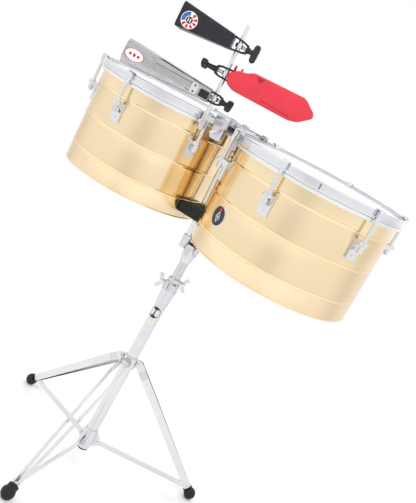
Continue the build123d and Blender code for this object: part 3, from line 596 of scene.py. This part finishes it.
def hook_rod(low):
    neck = [(0, -23 * MM), (HOOK_R, -23 * MM), (HOOK_R + 0.4 * MM, -18 * MM), (5.1 * MM, -14 * MM),
            (5.1 * MM, -12 * MM), (0, -12 * MM)]
    plain = [(0, low + 26 * MM), (HOOK_R, low + 26 * MM), (HOOK_R, -22 * MM), (0, -22 * MM)]
    rod = [turned(neck, 24), turned(plain, 24), threaded(HOOK_R, low, low + 26.5 * MM)]
    return [moved(shape, Matrix.Translation((HOOK_OUT, 0, 0))) for shape in rod]


def tuning_hooks(name, place, radius):
    low, _ = span(f"{name}_tuning_hooks", place)
    shapes = []
    for angle in LUG_ANGLES[name]:
        at = place @ spin(angle) @ Matrix.Translation((radius, 0, 0))
        shapes += [(moved(shape, at), CHROME) for shape in tuning_hook() + hook_rod(low.z)]
    piece(f"{name}_hooks", "head", shapes, [f"{name}_tuning_hooks"], bevel=0.5 * MM, sharp=50)


# ---------------------------------------------------------------- screws, handles and feet

def wing_screw(name, node, joint, wings_along, span_mm, shank_mm, hub_mm=5.5):
    """A cast wing screw: threaded shank, flared hub and two waisted ears."""
    place = z_frame(JOINTS[joint]["pos_m"], JOINTS[joint]["axis"], wings_along)
    hub = hub_mm * MM
    profile = [(0, 0.3 * MM), (hub - 0.6 * MM, 0.3 * MM), (hub, 0.9 * MM), (hub, 2.2 * MM),
               (hub * 0.86, 3.6 * MM),
               (hub * 0.80, 8.6 * MM), (hub * 0.62, 9.8 * MM), (hub * 0.3, 10.2 * MM), (0, 10.2 * MM)]
    s = span_mm * MM
    half = [(0, 2.0 * MM), (0.16 * s, 2.3 * MM), (0.31 * s, 3.4 * MM), (0.44 * s, 6.2 * MM),
            (0.5 * s, 9.8 * MM),
            (0.475 * s, 14.0 * MM), (0.40 * s, 15.5 * MM), (0.30 * s, 14.4 * MM), (0.21 * s, 11.2 * MM),
            (0.13 * s, 9.2 * MM)]
    outline = half + [(0, 8.8 * MM)] + [(-x, z) for x, z in reversed(half[1:])]
    wings = upright_slab(smooth_loop(outline, 3), -2.2 * MM, 2.2 * MM)
    shapes = [turned(profile, 32), wings, threaded(SCREW_R, -shank_mm * MM, 0.8 * MM, 1.0 * MM, 0.35 * MM)]
    piece(name, JOINTS[joint]["child"], [(moved(shape, place), CHROME) for shape in shapes], [node],
          bevel=1.3 * MM, sharp=40)


def t_handle(name, span_mm, stem_mm=11.0):
    """A moulded T handle: a waisted grip with shallow finger grooves, on a collared stem."""
    joint = JOINTS[f"{name}_handle_turn"]
    place = z_frame(joint["pos_m"], joint["axis"], widest_across(f"{name}_handle", joint))
    seat = span(f"{name}_handle", place)[0].z
    place = place @ Matrix.Translation((0, 0, seat - 0.3 * MM))
    half = span_mm * MM / 2
    loops = []
    for k in range(33):
        u = -1 + k / 16
        end = sqrt(max(0.0, 1 - abs(u) ** 5))
        grip = 0.95 + 0.05 * cos(6 * pi * u)
        wide = GRIP_WIDE * grip * (0.2 + 0.8 * end)
        tall = GRIP_TALL * grip * (0.2 + 0.8 * end)
        section = rectangle(wide, tall, 4.4 * MM * (0.2 + 0.8 * end), 4)
        loops.append([(u * half, p[0], (stem_mm + GRIP_ABOVE_STEM) * MM + p[1]) for p in section])
    stem = [(0, 0.3 * MM), (6.4 * MM, 0.3 * MM), (6.8 * MM, 0.8 * MM), (6.8 * MM, 2.6 * MM),
            (6.2 * MM, 3.4 * MM),
            (5.2 * MM, (stem_mm - 4) * MM), (5.5 * MM, stem_mm * MM), (0, stem_mm * MM)]
    insert = [(0, -0.1 * MM), (4.2 * MM, -0.1 * MM), (4.2 * MM, 0.6 * MM), (0, 0.6 * MM)]
    shapes = [(skin(loops), BLACK_PLASTIC), (turned(stem, 32), BLACK_PLASTIC), (turned(insert, 24), CHROME)]
    piece(f"{name}_t_handle", joint["child"],
          [(moved(shape, place), material) for shape, material in shapes], [f"{name}_handle"], sharp=50)


def widest_across(node, joint):
    """The direction square to a joint's axis in which its node is widest."""
    axis = Vector(joint["axis"]).normalized()
    origin = Vector(joint["pos_m"])
    best = Vector((0, 0, 0))
    for vertex in NODES[node].data.vertices:
        off = vertex.co - origin
        off -= axis * off.dot(axis)
        if off.length > best.length:
            best = off
    return best


def foot(number):
    """A rubber ball with moulded ribs and a worn flat tread, and its collar on the leg."""
    mount = next(m for m in frame["record"]["mounts"] if m["name"] == f"foot_{number}_rest")
    centre = Vector(mount["pos_m"]) + Vector((0, 0, 15 * MM))
    ball = 15.5 * MM
    outline = [(0, -15 * MM), (3.9 * MM, -15 * MM)]
    for k in range(1, 40):
        angle = radians(-75 + k * 4.2)
        groove = 0.9 * MM if k in (9, 10, 27, 28) else 0.0
        outline.append(((ball - groove) * cos(angle), (ball - groove) * sin(angle)))
    outline.append((0, ball))
    leg_end = Vector(JOINTS[f"leg_{number}_hinge"]["pos_m"])
    collar_at = z_frame(centre, leg_end - centre, (0, 0, 1))
    collar = [(0, 3 * MM), (12.0 * MM, 3 * MM), (12.2 * MM, 17.2 * MM), (11.8 * MM, 18 * MM),
              (10.6 * MM, 18 * MM),
              (10.2 * MM, 17.4 * MM), (10.2 * MM, 13.2 * MM), (0, 13.2 * MM)]
    shapes = [(moved(turned(outline, 64), Matrix.Translation(centre)), RUBBER),
              (moved(turned(collar, 32), collar_at), RUBBER)]
    piece(f"foot_{number}_ball", f"leg_{number}", shapes, [f"foot_{number}"], sharp=60)


# ---------------------------------------------------------------- badges

def wrapped_badge(place, cylinder, zones, segments=64):
    """Round zones (inner, outer, raised, material) laid on a cylinder about the frame's Z axis.

    The badge is centred where the frame's X axis leaves the cylinder."""
    shapes = []
    for inner, outer, raised, material in zones:
        radii = [(inner, 0.0), (inner, raised), (outer - 0.3 * MM, raised), (outer, raised - 0.25 * MM),
                 (outer, 0.0)]
        loops = []
        for k in range(segments):
            c, s = cos(2 * pi * k / segments), sin(2 * pi * k / segments)
            loop = []
            for r, out in radii:
                turn = r * c / cylinder
                reach = cylinder + out
                loop.append((reach * cos(turn), reach * sin(turn), r * s))
            loops.append(loop)
        shapes.append((moved(skin(loops, closed=True), place), material))
    return shapes


def diamond(place, cylinder, size, raised, material):
    """A small raised rhombus in the middle of a wrapped badge."""
    corners = [(size, 0), (0, size * 0.62), (-size, 0), (0, -size * 0.62)]
    loops = []
    for out in (0.0, raised):
        loops.append([((cylinder + out) * cos(x / cylinder), (cylinder + out) * sin(x / cylinder), z)
                      for z, x in rounded(corners, 0.8 * MM, 2)])
    return [(moved(skin(loops), place), material)]


def badges():
    low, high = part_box("tube_badge")
    column = PIVOT.xy
    middle = (low + high) / 2
    out = Vector((middle.x - column.x, middle.y - column.y, 0))
    place = x_frame((column.x, column.y, middle.z), out, (0, 0, 1))
    tube = 14.34 * MM
    zones = [(0.0, 14.6 * MM, 0.3 * MM, BLACK_PRINT), (14.6 * MM, 15.2 * MM, 0.34 * MM, WHITE_PRINT)]
    shapes = wrapped_badge(place, tube, zones) + diamond(place, tube, 8.0 * MM, 0.40 * MM, WHITE_PRINT)
    shapes += diamond(place, tube, 3.4 * MM, 0.46 * MM, BLACK_PRINT)
    piece("tube_label", "root", shapes, ["tube_badge"])
    dot = place @ Matrix.Translation((0, 0, -28 * MM))
    piece("tube_dot_label", "root",
          wrapped_badge(dot, tube, [(0.0, 5.0 * MM, 0.2 * MM, AMBER_PRINT)], 24))

    low, high = span("shell_badge", LARGE)
    middle = (low + high) / 2
    place = LARGE @ x_frame((0, 0, middle.z), (middle.x, middle.y, 0), (0, 0, 1))
    shell = LARGE_R + 0.05 * MM
    zones = [(0.0, 20.8 * MM, 0.7 * MM, BLACK_PRINT), (20.8 * MM, 22.5 * MM, 1.0 * MM, CHROME)]
    shapes = wrapped_badge(place, shell, zones, 96)
    mark = place @ Matrix.Translation((0, 0, -2 * MM))
    for size, raised, material in ((12.5, 0.90, CHROME), (8.4, 0.94, BLACK_PRINT), (4.0, 0.98, CHROME)):
        shapes += diamond(mark, shell, size * MM, raised * MM, material)
    dot = place @ Matrix.Translation((0, 0, 13.5 * MM))
    shapes += wrapped_badge(dot, shell, [(0.0, 3.6 * MM, 0.98 * MM, RED_PRINT)], 24)
    piece("shell_round_badge", "head", shapes, ["shell_badge"])


# ---------------------------------------------------------------- bells and block

def bell_shape(start, long, narrow, mouth, corners, wall, crown=0.0):
    """A sheet bell along X, closed at the narrow end. narrow and mouth are (wide, high), all in mm."""

    def loop(x, inset):
        t = (x - start) / long
        wide = narrow[0] + (mouth[0] - narrow[0]) * t - 2 * inset
        high = narrow[1] + (mouth[1] - narrow[1]) * t - 2 * inset
        corner = max(corners[0] + (corners[1] - corners[0]) * t - inset, 0.8)
        swell = crown * (0.4 + 0.6 * t)
        outline = []
        for y, z in rectangle(wide, high, corner * 1.25, 6):
            bow_z = swell * (1 - (2 * y / wide) ** 2) * (2 * z / high)
            outline.append((x * MM, y * MM, (z + bow_z) * MM))
        return outline

    end = start + long
    outer = [(start, 3.0), (start + 0.5, 1.4), (start + 1.6, 0.4), (start + 3.4, 0.0)]
    outer += [(start + long * k / 8, 0.0) for k in range(1, 8)]
    outer += [(end - 0.5, 0.0), (end, wall * 0.3)]
    inner = [(end, wall * 0.7), (end - 0.5, wall)]
    inner += [(start + long * k / 8, wall) for k in range(7, 0, -1)]
    inner += [(start + 3.6, wall), (start + wall, wall + 2.0)]
    return skin([loop(x, inset) for x, inset in outer + inner])


def bell_seam(start, long, narrow, mouth, side, proud=0.8):
    """The folded seam down one side of a bell."""
    loops = []
    for x, y in ((start + 2, side * narrow[0] / 2), (start + long - 1, side * mouth[0] / 2)):
        profile = ((-0.9, -1.1), (proud * 0.6, -0.9), (proud, 0), (proud * 0.6, 0.9), (-0.9, 1.1))
        loops.append([(x * MM, (y + side * dy) * MM, dz * MM) for dy, dz in profile])
    return skin(loops)


def ring_part(place, inner, outer, start, end, top, material):
    """A flat arc of a ring between two angles, laid on the frame's XY plane."""
    outline = []
    for r, order in ((outer, range(13)), (inner, range(12, -1, -1))):
        for k in order:
            a = radians(start + (end - start) * k / 12)
            outline.append((r * cos(a) * MM, r * sin(a) * MM))
    return moved(slab(outline, 0.0, top * MM), place), material


def round_decal(place, zones):
    """Flat round zones (inner, outer, top, material) stacked on the frame's XY plane."""
    shapes = []
    for inner, outer, top, material in zones:
        profile = [(inner * MM, 0), (outer * MM, 0), (outer * MM, (top - 0.12) * MM),
                   ((outer - 0.15) * MM, top * MM), (inner * MM, top * MM)]
        shapes.append((moved(turned(profile, 48), place), material))
    return shapes


def side_plane(start, long, narrow, mouth, x, z, side):
    """A frame on the bell's side wall, at x along it and height z: Z out, X along the bell."""
    slope = (mouth[0] - narrow[0]) / 2 / long
    half = narrow[0] / 2 + (x - start) * slope
    along = Vector((1, side * slope, 0)).normalized()
    out = Vector((-slope, side, 0)).normalized()
    return z_frame((x * MM, side * half * MM, z * MM), out, along)


def black_bell():
    place = bell_frame("black_bell")
    start, long, narrow, mouth = 15.0, 119.0, (50, 31), (88, 53)
    shapes = [bell_shape(start, long, narrow, mouth, (6, 8), 1.8), bell_seam(start, long, narrow, mouth, -1)]
    shapes = [(moved(shape, place), ENAMEL) for shape in shapes]
    piece("black_cowbell", "black_bell", shapes, ["black_bell"], sharp=42)
    at = place @ side_plane(start, long, narrow, mouth, 110, -4.5, 1)
    shapes = round_decal(at, [(0, 7.2, 0.60, BLACK_PRINT), (7.2, 17.6, 0.40, WHITE_PRINT)])
    shapes.append(ring_part(at, 8.6, 16.4, -80, 25, 0.48, BLUE_PRINT))
    for first in (40, 78, 116, 154, 192, 230):
        shapes.append(ring_part(at, 8.6, 16.4, first, first + 22, 0.48, RED_PRINT))
    for x in (-2.4, 2.4):
        bar = slab(rectangle(1.8 * MM, 8.0 * MM, 0.5 * MM), 0.5 * MM, 0.68 * MM)
        shapes.append((moved(bar, at @ Matrix.Translation((x * MM, 0, 0))), WHITE_PRINT))
    piece("black_bell_badge", "black_bell", shapes)


def steel_bell():
    place = bell_frame("steel_bell")
    start, long, narrow, mouth = 9.0, 197.0, (58, 30), (106, 52)
    shapes = [(bell_shape(start, long, narrow, mouth, (9, 15), 1.8), STEEL)]
    shapes.append((bell_seam(start, long, narrow, mouth, -1, 0.6), STEEL))
    at = side_plane(start, long, narrow, mouth, 44, -1, 1)
    plate = slab(rectangle(15 * MM, 22 * MM, 4 * MM), -0.2 * MM, 1.8 * MM)
    shapes.append((moved(plate, at), CHROME))
    for y in (-6.5, 6.5):
        rivet = turned([(0, 0), (2.6 * MM, 0), (2.4 * MM, 2.6 * MM), (1.3 * MM, 3.4 * MM), (0, 3.5 * MM)], 20)
        shapes.append((moved(rivet, at @ Matrix.Translation((0, y * MM, 0))), DARK_STEEL_AND_SHADE))
    # Painted shade: thin dark strips laid nearly flush along the side where the grooves are; no groove is
    # cut.
    for x, length, z in ((88, 96, 7.0), (36, 52, -9.5)):
        groove = side_plane(start, long, narrow, mouth, x, z, 1)
        strip = slab(rectangle(length * MM, 1.3 * MM, 0.6 * MM), -0.2 * MM, 0.15 * MM)
        shapes.append((moved(strip, groove), DARK_STEEL_AND_SHADE))
    shapes = [(moved(shape, place), material) for shape, material in shapes]
    piece("steel_cowbell", "steel_bell", shapes, ["steel_bell"], sharp=42)
    cheek = place @ side_plane(start, long, narrow, mouth, 21, -2, 1)
    shapes = [(moved(slab(rectangle(21 * MM, 17 * MM, 3 * MM), -0.2 * MM, 1.7 * MM), cheek), ENAMEL)]
    piece("steel_bell_cheek", "steel_bell", shapes, bevel=0.5 * MM)
    oval = place @ side_plane(start, long, narrow, mouth, 182, -1, 1) @ Matrix.Diagonal((1.0, 0.56, 1.0, 1.0))
    zones = [(0, 20.0, 0.5, WHITE_PRINT), (20.0, 21.6, 0.6, RED_PRINT)]
    shapes = round_decal(oval, zones)
    for x, size in ((-9, 5.2), (0, 6.4), (9, 5.2)):
        mark = slab(rectangle(5.6 * MM, 2 * size * MM, 2.4 * MM), 0.4 * MM, 0.66 * MM)
        shapes.append((moved(mark, oval @ Matrix.Translation((x * MM, 0, 0))), RED_PRINT))
    piece("steel_bell_badge", "steel_bell", shapes)


def jam_block():
    """A moulded block: bevelled ends, a raised playing edge and its end tabs, with painted shade in a darker
    red: a triangle on each side for the recess, a line low on each side for the slotted underside, and the
    first end tab.
    """
    place = bell_frame("jam_block")
    outline = [(6, -3), (6, 5), (25, 18), (41, 19), (52, 26), (176, 26), (203, 6), (205, -4), (180, -24),
               (160, -29),
               (28, -25), (11, -17)]
    curve = rounded([(x * MM, z * MM) for x, z in outline], 5 * MM, 4)
    centre = Vector((105 * MM, 0))

    def layer(y, inset):
        loop = []
        for p in curve:
            off = p - centre
            shrunk = centre + off - off.normalized() * inset * MM
            loop.append((shrunk.x, y * MM, shrunk.y))
        return loop

    sections = [(-22, 4.2), (-21.4, 2.2), (-20, 0.8), (-17.8, 0.0),
                (17.8, 0.0), (20, 0.8), (21.4, 2.2), (22, 4.2)]
    body = skin([layer(y, inset) for y, inset in sections])
    shapes = [(body, RED_PLASTIC)]
    ridge = slab(rectangle(118 * MM, 9 * MM, 3 * MM), 25.4 * MM, 27.6 * MM)
    shapes.append((moved(ridge, Matrix.Translation((114 * MM, 0, 0))), RED_PLASTIC))
    for side in (-1, 1):
        # Painted shade: a darker red triangle laid on each side where the recess is; no recess is cut.
        recess = rounded([(64, 23), (82, 23), (73, 12)], 2, 3)
        patch = upright_slab([(p[0] * MM, p[1] * MM) for p in recess], side * 21.2 * MM, side * 22.25 * MM)
        shapes.append((patch, PAINTED_SHADE_RED))
        # Painted shade: a darker red line low on each side for the slot in the underside; no slot is cut.
        line = rounded([(92, -17), (158, -20), (158, -21.6), (92, -18.6)], 0.6, 2)
        shapes.append((upright_slab([(p[0] * MM, p[1] * MM) for p in line],
                                    side * 21.2 * MM, side * 22.2 * MM),
                       PAINTED_SHADE_RED))
    # Painted shade: the first end tab is in the darker red, the second in the plain red.
    for x, y, material in ((14, -10, PAINTED_SHADE_RED), (27, 9, RED_PLASTIC)):
        outline = rounded([(x - 3, 10), (x + 4, 10), (x + 2, 25), (x - 1, 25)], 1.5)
        tab = upright_slab([(p[0] * MM, p[1] * MM) for p in outline], (y - 3) * MM, (y + 3) * MM)
        shapes.append((tab, material))
    shapes = [(moved(shape, place), material) for shape, material in shapes]
    piece("jam_block_body", "jam_block", shapes, ["jam_block"], sharp=42)


# ---------------------------------------------------------------- CAD nodes that stay

def paint_nodes():
    """Gives each CAD node that stays its material, by the record's slots."""
    by_slot = {
        "chrome": CHROME, "cast_chrome": CAST_CHROME, "black_rubber": RUBBER, "black_paint": ENAMEL,
        "black_plastic": BLACK_PLASTIC, "red_plastic": RED_PLASTIC, "brushed_steel": STEEL, "nylon": NYLON,
        "label": BLACK_PRINT, "brass": CHROME, "head_film": WHITE_PRINT, "aluminium": CHROME,
    }
    tripod = ("leg_", "spreader_", "lower_tube", "upper_tube", "hub_pins")
    for subpart in frame["record"]["subparts"]:
        node, slot = subpart["node"], subpart["material_slot"]
        stands = slot == "chrome" and node.startswith(tripod)
        mesh = NODES[node].data
        mesh.materials.clear()
        mesh.materials.append(STAND_CHROME if stands else by_slot[slot])


# ---------------------------------------------------------------- studio

def studio_world():
    """White to the eye, and to reflections a ring of soft panels over a grey floor."""
    world = bpy.data.worlds.new("studio")
    bpy.context.scene.world = world
    tree = Tree(world)
    back = tree.nodes["Background"]
    where = tree.add("TexCoord").outputs["Generated"]
    parts = tree.add("SeparateXYZ", {0: where}).outputs
    angle = tree.math("ARCTAN2", parts["Y"], parts["X"])
    wave = tree.math("COSINE", tree.math("MULTIPLY_ADD", angle, 3.0, 0.9))
    panels = tree.ramp(tree.math("MULTIPLY_ADD", wave, 0.5, 0.5), (0.02, 0.89), (0.14, 0.98), (0.5, 1.05))
    height = tree.math("MULTIPLY_ADD", parts["Z"], 0.5, 0.5)
    level = tree.ramp(height, (0.30, 0.96), (0.46, 0.90), (0.50, 1.0), (1.0, 1.06))
    lit = tree.add("VectorMath", {0: panels, 1: level}, operation="MULTIPLY").outputs[0]
    eye = tree.add("LightPath").outputs["Is Camera Ray"]
    tree.feed(back.inputs["Color"], tree.mix(eye, lit, (1.0, 1.0, 1.0)))
    back.inputs["Strength"].default_value = 1.0


def floor():
    """A pale floor that fades into the white background."""
    made, tree, shader, where = start_material("studio_floor", (0.93, 0.93, 0.93), 0.6)
    parts = tree.add("SeparateXYZ", {0: where}).outputs
    squares = tree.math("ADD", tree.math("MULTIPLY", parts["X"], parts["X"]),
                        tree.math("MULTIPLY", parts["Y"], parts["Y"]))
    fade = tree.ramp(tree.math("MULTIPLY", tree.math("SQRT", squares), 0.4), (0.2, 0.0), (0.9, 1.0))
    tree.feed(shader.inputs["Base Color"],
              tree.mix(tree.noise(where, 3.0), (0.92, 0.92, 0.92), (0.94, 0.94, 0.94)))
    clear = tree.add("BsdfTransparent").outputs[0]
    blend = tree.add("MixShader", {0: fade, 1: shader.outputs[0], 2: clear}).outputs[0]
    tree.feed(tree.nodes["Material Output"].inputs["Surface"], blend)
    edge = [(2.6 * cos(2 * pi * k / 96), 2.6 * sin(2 * pi * k / 96)) for k in range(96)]
    disc = skin([[(x, y, z) for x, y in edge] for z in (-0.02, 0.0)])
    mesh = bpy.data.meshes.new("studio_floor")
    mesh.from_pydata(disc[0], [], disc[1])
    mesh.materials.append(made)
    ground = bpy.data.objects.new("studio_floor", mesh)
    bpy.context.scene.collection.objects.link(ground)


def soft_light(name, place, aim, size, power):
    data = bpy.data.lights.new(name, "AREA")
    data.shape = "RECTANGLE"
    data.size, data.size_y = size
    data.energy = power
    lamp = bpy.data.objects.new(name, data)
    lamp.location = place
    lamp.visible_glossy = False
    lamp.rotation_euler = (Vector(aim) - Vector(place)).to_track_quat("-Z", "Y").to_euler()
    bpy.context.scene.collection.objects.link(lamp)


def studio_camera():
    """The photograph's viewpoint: a little above the drums, from the player's right, rolled."""
    azimuth, elevation, roll = radians(25.1), radians(7.7), radians(29.2)
    distance = 1.5619
    target = Vector((PIVOT.x + 0.0329, PIVOT.y + 0.0154, 0.6058))
    away = Vector((sin(azimuth) * cos(elevation), -cos(azimuth) * cos(elevation), sin(elevation)))
    data = bpy.data.cameras.new("camera")
    data.sensor_fit = "VERTICAL"
    data.sensor_height = 36.0
    data.lens = 47.17
    camera = bpy.data.objects.new("camera", data)
    look = (-away).to_track_quat("-Z", "Y").to_matrix().to_4x4()
    camera.matrix_world = Matrix.Translation(target + away * distance) @ look @ Matrix.Rotation(roll, 4, "Z")
    bpy.context.scene.collection.objects.link(camera)
    bpy.context.scene.camera = camera


# ---------------------------------------------------------------- everything together

paint_nodes()
for drum, drum_place, drum_r in (("large", LARGE, LARGE_R), ("small", SMALL, SMALL_R)):
    drum_shell(drum, drum_place, drum_r)
    drum_head(drum, drum_place, drum_r)
    flesh_hoop(drum, drum_place)
    drum_rim(drum, drum_place, drum_r)
    tuning_hooks(drum, drum_place, drum_r)
wing_screw("clamp_wing_screw", "height_clamp_screw", "height_clamp_screw_turn", (0, 0, 1), 38, 7.0)
wing_screw("lock_wing_screw", "memory_lock_screw", "memory_lock_screw_turn", (0, 0, 1), 36, 6.5)
wing_screw("collar_wing_screw", "leg_collar_screw", "leg_collar_screw_turn", (0, 0, 1), 30, 7)
wing_screw("tilter_wing_screw", "tilter_screw", "tilter_screw_turn", (0, 0, 1), 28, 12)
wing_screw("mount_wing_screw", "mount_screw", "mount_screw_turn",
           HEAD @ Vector((1, 0, 1)) - PIVOT, 24, 4, 4.5)
for accessory, handle_span, handle_stem in (("black_bell", 39, 11), ("jam_block", 38, 21),
                                            ("steel_bell", 38, 11)):
    t_handle(accessory, handle_span, handle_stem)
for leg_number in (1, 2, 3):
    foot(leg_number)
badges()
black_bell()
steel_bell()
jam_block()

studio_world()
floor()
soft_light("key_panel", (1.7, -2.0, 2.3), (0, 0, 0.6), (1.6, 1.6), 30.0)
soft_light("fill_panel", (-2.2, -1.2, 1.4), (0, 0, 0.6), (1.4, 2.0), 14.0)
soft_light("back_panel", (-0.6, 2.4, 2.2), (0, 0, 0.8), (2.0, 1.2), 16.0)
studio_camera()
bpy.context.scene.view_settings.view_transform = "Standard"
